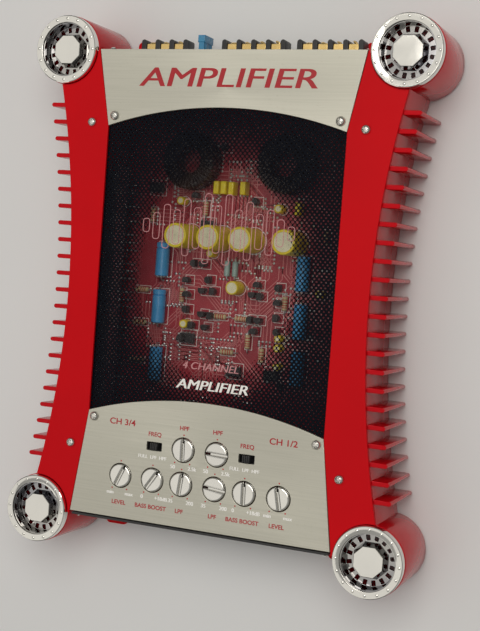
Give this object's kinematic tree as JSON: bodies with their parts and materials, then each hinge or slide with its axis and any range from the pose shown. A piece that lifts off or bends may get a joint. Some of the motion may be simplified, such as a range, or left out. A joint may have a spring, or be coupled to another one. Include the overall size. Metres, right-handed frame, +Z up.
{
  "type": "car amplifier",
  "caption": "Hourglass-shaped car audio amplifier with finned red heatsinks, chrome corner caps, brushed silver end plates, a smoked window, level knobs and a barrier terminal row.",
  "frame": {"origin": "on the surface the amplifier is screwed to, below the middle of the case", "axes": "+Z up out of the top plates, +Y along the length towards the power and speaker terminals, +X to the right seen from above with the terminals at the far end"},
  "size_m": [0.2714, 0.3444, 0.0555],
  "materials": {
    "red_paint": "gloss",
    "brushed_plate": "brushed",
    "chrome": "polished",
    "smoked_window": "gloss",
    "black_steel": "satin",
    "circuit_board": "satin",
    "black_plastic": "satin",
    "fuse_blue": "gloss",
    "gold_plate": "polished",
    "toroid_winding": "gloss",
    "yellow_sleeve": "gloss",
    "bare_aluminium": "satin",
    "screw_steel": "polished"
  },
  "bodies": {
    "case": {"bottom_plate": "red_paint", "left_heatsink": "red_paint", "right_heatsink": "red_paint", "left_side_cover": "red_paint", "right_side_cover": "red_paint", "terminal_plate": "brushed_plate", "control_plate": "brushed_plate", "window": "smoked_window", "cap_left_terminal": "chrome", "cap_right_terminal": "chrome", "cap_left_control": "chrome", "cap_right_control": "chrome", "terminal_end_panel": "black_steel", "control_end_panel": "black_steel", "main_board": "circuit_board", "control_board": "circuit_board", "power_terminal_block": "black_plastic", "left_speaker_block": "black_plastic", "right_speaker_block": "black_plastic", "fuse_holder": "black_plastic", "rear_input_jacks": "gold_plate", "front_input_jacks": "gold_plate", "remote_level_port": "black_plastic", "left_toroid": "toroid_winding", "right_toroid": "toroid_winding", "filter_capacitor_1": "yellow_sleeve", "filter_capacitor_2": "yellow_sleeve", "filter_capacitor_3": "yellow_sleeve", "filter_capacitor_4": "yellow_sleeve", "left_clamp_bar": "bare_aluminium", "right_clamp_bar": "bare_aluminium", "rear_level_potentiometer": "black_plastic", "rear_bass_potentiometer": "black_plastic", "rear_lowpass_potentiometer": "black_plastic", "front_lowpass_potentiometer": "black_plastic", "front_bass_potentiometer": "black_plastic", "front_level_potentiometer": "black_plastic", "rear_highpass_potentiometer": "black_plastic", "front_highpass_potentiometer": "black_plastic", "rear_filter_switch_body": "black_plastic", "front_filter_switch_body": "black_plastic", "left_cover_screw_1": "screw_steel", "left_cover_screw_2": "screw_steel", "left_plate_screw_1": "screw_steel", "left_plate_screw_2": "screw_steel", "right_cover_screw_1": "screw_steel", "right_cover_screw_2": "screw_steel", "right_plate_screw_1": "screw_steel", "right_plate_screw_2": "screw_steel"},
    "rear_level_knob_body": {"rear_level_knob": "chrome"},
    "rear_bass_knob_body": {"rear_bass_knob": "chrome"},
    "rear_lowpass_knob_body": {"rear_lowpass_knob": "chrome"},
    "front_lowpass_knob_body": {"front_lowpass_knob": "chrome"},
    "front_bass_knob_body": {"front_bass_knob": "chrome"},
    "front_level_knob_body": {"front_level_knob": "chrome"},
    "rear_highpass_knob_body": {"rear_highpass_knob": "chrome"},
    "front_highpass_knob_body": {"front_highpass_knob": "chrome"},
    "rear_filter_slider_body": {"rear_filter_slider": "black_plastic"},
    "front_filter_slider_body": {"front_filter_slider": "black_plastic"},
    "fuse_body": {"blade_fuse": "fuse_blue"}
  },
  "joints": [
    {"name": "rear_level_turn", "type": "hinge", "parent": "case", "child": "rear_level_knob_body", "pos_m": [-0.0542, -0.1208, 0.053], "axis": [0, 0, 1], "range_deg": [-126, 174]},
    {"name": "rear_bass_turn", "type": "hinge", "parent": "case", "child": "rear_bass_knob_body", "pos_m": [-0.0315, -0.1208, 0.053], "axis": [0, 0, 1], "range_deg": [-116, 184]},
    {"name": "rear_lowpass_turn", "type": "hinge", "parent": "case", "child": "rear_lowpass_knob_body", "pos_m": [-0.0114, -0.1208, 0.053], "axis": [0, 0, 1], "range_deg": [-144, 156]},
    {"name": "front_lowpass_turn", "type": "hinge", "parent": "case", "child": "front_lowpass_knob_body", "pos_m": [0.0114, -0.1208, 0.053], "axis": [0, 0, 1], "range_deg": [-234, 66]},
    {"name": "front_bass_turn", "type": "hinge", "parent": "case", "child": "front_bass_knob_body", "pos_m": [0.0315, -0.1208, 0.053], "axis": [0, 0, 1], "range_deg": [-152, 148]},
    {"name": "front_level_turn", "type": "hinge", "parent": "case", "child": "front_level_knob_body", "pos_m": [0.0542, -0.1208, 0.053], "axis": [0, 0, 1], "range_deg": [-162, 138]},
    {"name": "rear_highpass_turn", "type": "hinge", "parent": "case", "child": "rear_highpass_knob_body", "pos_m": [-0.0114, -0.0992, 0.053], "axis": [0, 0, 1], "range_deg": [-152, 148]},
    {"name": "front_highpass_turn", "type": "hinge", "parent": "case", "child": "front_highpass_knob_body", "pos_m": [0.0114, -0.0992, 0.053], "axis": [0, 0, 1], "range_deg": [-238, 62]},
    {"name": "rear_filter_slide", "type": "slide", "parent": "case", "child": "rear_filter_slider_body", "axis": [1, 0, 0], "range_m": [-0.0026, 0.0026]},
    {"name": "front_filter_slide", "type": "slide", "parent": "case", "child": "front_filter_slider_body", "axis": [1, 0, 0], "range_m": [-0.0026, 0.0026]},
    {"name": "fuse_pull", "type": "slide", "parent": "case", "child": "fuse_body", "axis": [0, 1, 0], "range_m": [0, 0.011]}
  ]
}
